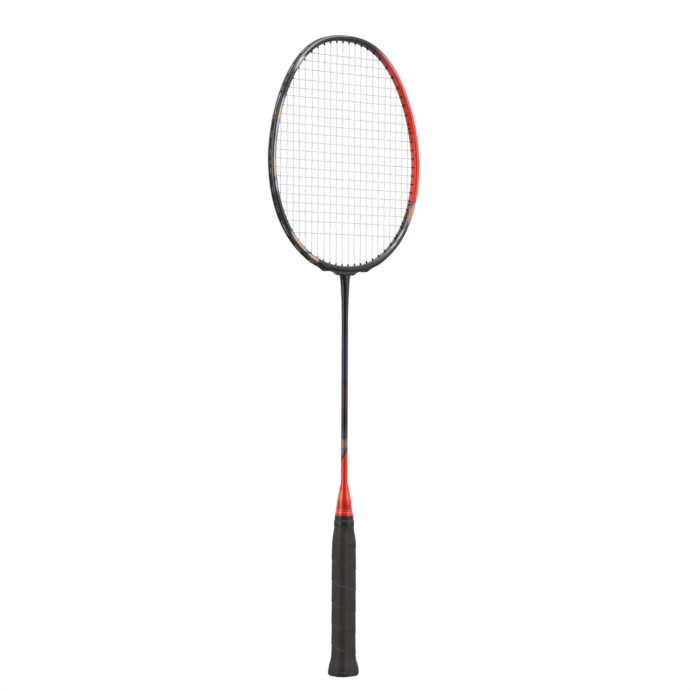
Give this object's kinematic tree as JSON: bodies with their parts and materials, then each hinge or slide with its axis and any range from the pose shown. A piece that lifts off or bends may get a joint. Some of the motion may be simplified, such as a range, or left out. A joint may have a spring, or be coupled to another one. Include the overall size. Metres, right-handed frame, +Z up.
{
  "type": "badminton racket",
  "caption": "Strung badminton racket: an oval grooved hoop with woven strings on a slim shaft, a cone cap and an octagonal wrapped handle with a flared butt.",
  "frame": {"origin": "centre of the butt face, where a hand or a stand takes the handle", "axes": "+Z up the shaft from the butt to the crown of the head; +X across the head to its red limb; -Y out of the front face of the string bed"},
  "size_m": [0.2002, 0.0268, 0.675],
  "materials": {
    "frame_lacquer": "gloss black lacquer over carbon, one limb bright red, with copper and blue accents",
    "shaft_lacquer": "satin charcoal lacquer over carbon",
    "cone_lacquer": "gloss red-orange",
    "joint_carbon": "bare moulded carbon",
    "grommet_nylon": "satin black nylon",
    "string_nylon": "semi-gloss white multifilament nylon",
    "tape_black": "satin black tape",
    "handle_wood": "bare light wood",
    "grip_polyurethane": "tacky black polyurethane strip with fine ribs",
    "cap_plastic": "satin black moulded plastic"
  },
  "bodies": {
    "root": {"head_frame": "frame_lacquer", "t_joint": "joint_carbon", "throat_collar": "frame_lacquer", "grommet_strip_01": "grommet_nylon", "grommet_strip_02": "grommet_nylon", "grommet_strip_03": "grommet_nylon", "grommet_strip_04": "grommet_nylon", "grommet_strip_05": "grommet_nylon", "grommet_strip_06": "grommet_nylon", "grommet_strip_07": "grommet_nylon", "grommet_strip_08": "grommet_nylon", "grommet_strip_09": "grommet_nylon", "grommet_strip_10": "grommet_nylon", "grommet_strip_11": "grommet_nylon", "grommet_strip_12": "grommet_nylon", "grommet_strip_13": "grommet_nylon", "grommet_strip_14": "grommet_nylon", "grommet_strip_15": "grommet_nylon", "grommet_strip_16": "grommet_nylon", "main_string": "string_nylon", "cross_string": "string_nylon", "shaft_tube": "shaft_lacquer", "cone_cap": "cone_lacquer", "finishing_tape": "tape_black", "handle_core": "handle_wood", "grip_wrap": "grip_polyurethane", "butt_cap": "cap_plastic"}
  },
  "joints": []
}
